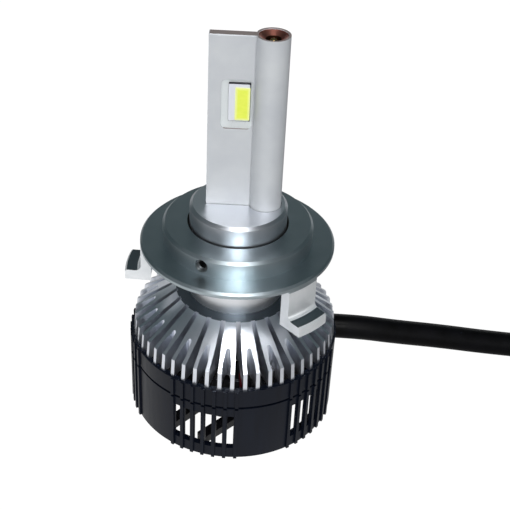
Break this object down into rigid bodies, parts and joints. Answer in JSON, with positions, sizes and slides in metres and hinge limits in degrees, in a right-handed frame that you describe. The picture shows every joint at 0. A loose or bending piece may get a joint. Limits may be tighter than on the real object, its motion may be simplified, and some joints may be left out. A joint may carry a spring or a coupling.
{
  "type": "headlight bulb",
  "caption": "LED headlight bulb: flat mast with a heat pipe tube, turnable hooked collar, forked-fin heat sink, slotted fan shroud and a cable with a two-blade plug.",
  "frame": {"origin": "on the bulb's axis, in the plane of the collar flange's upper face, which seats in the lamp housing", "axes": "+Z along the bulb's axis towards the tip of the mast; -Y is the side that the front LED faces; +X is the side of the mast's round tube"},
  "size_m": [0.1363, 0.0661, 0.0693],
  "materials": {
    "cast_aluminium": "satin",
    "mast_aluminium": "satin",
    "barrel_aluminium": "satin",
    "collar_metal": "semi-gloss",
    "copper": "satin",
    "led_ceramic": "matte",
    "led_phosphor": "matte",
    "black_steel": "satin",
    "steel": "satin",
    "shroud_plastic": "satin",
    "fan_plastic": "satin",
    "bearing_bronze": "satin",
    "stator_steel": "satin",
    "coil_copper": "gloss",
    "magnet": "matte",
    "circuit_board": "satin",
    "component_black": "satin",
    "wire_red": "satin",
    "wire_black": "satin",
    "cable_sleeve": "satin",
    "rubber": "matte",
    "plug_nylon": "satin",
    "terminal_brass": "gloss"
  },
  "bodies": {
    "housing": {"heat_sink": "cast_aluminium", "barrel": "barrel_aluminium", "lamp_mast": "mast_aluminium", "heat_pipe": "copper", "led_package_front": "led_ceramic", "led_package_back": "led_ceramic", "led_phosphor_front": "led_phosphor", "led_phosphor_back": "led_phosphor", "led_feed_wires": "wire_red", "shroud": "shroud_plastic", "fan_frame": "fan_plastic", "fan_screws": "black_steel", "fan_bearing": "bearing_bronze", "fan_stator": "stator_steel", "fan_coils": "coil_copper", "fan_board": "circuit_board", "driver_board": "circuit_board", "driver_parts": "component_black", "fan_lead_red": "wire_red", "fan_lead_black": "wire_black", "power_lead_red": "wire_red", "power_lead_black": "wire_black", "cable_grommet": "rubber", "cable": "cable_sleeve", "cable_tail": "cable_sleeve", "cable_coil": "cable_sleeve", "cable_tie": "rubber", "connector_boot": "rubber", "connector_plug": "plug_nylon", "connector_terminals": "terminal_brass"},
    "collar": {"collar": "collar_metal"},
    "set_screw": {"set_screw": "black_steel"},
    "rotor": {"fan_rotor": "fan_plastic", "fan_magnet": "magnet", "fan_shaft": "steel"}
  },
  "joints": [
    {"name": "fan_spin", "type": "hinge", "parent": "housing", "child": "rotor", "pos_m": [0, 0, -0.022], "axis": [0, 0, 1], "continuous": true},
    {"name": "collar_turn", "type": "hinge", "parent": "housing", "child": "collar", "pos_m": [0, 0, 0], "axis": [0, 0, 1], "continuous": true},
    {"name": "set_screw_back_out", "type": "slide", "parent": "collar", "child": "set_screw", "axis": [-0.4289, -0.9033, 0], "range_m": [0, 0.0012]}
  ]
}
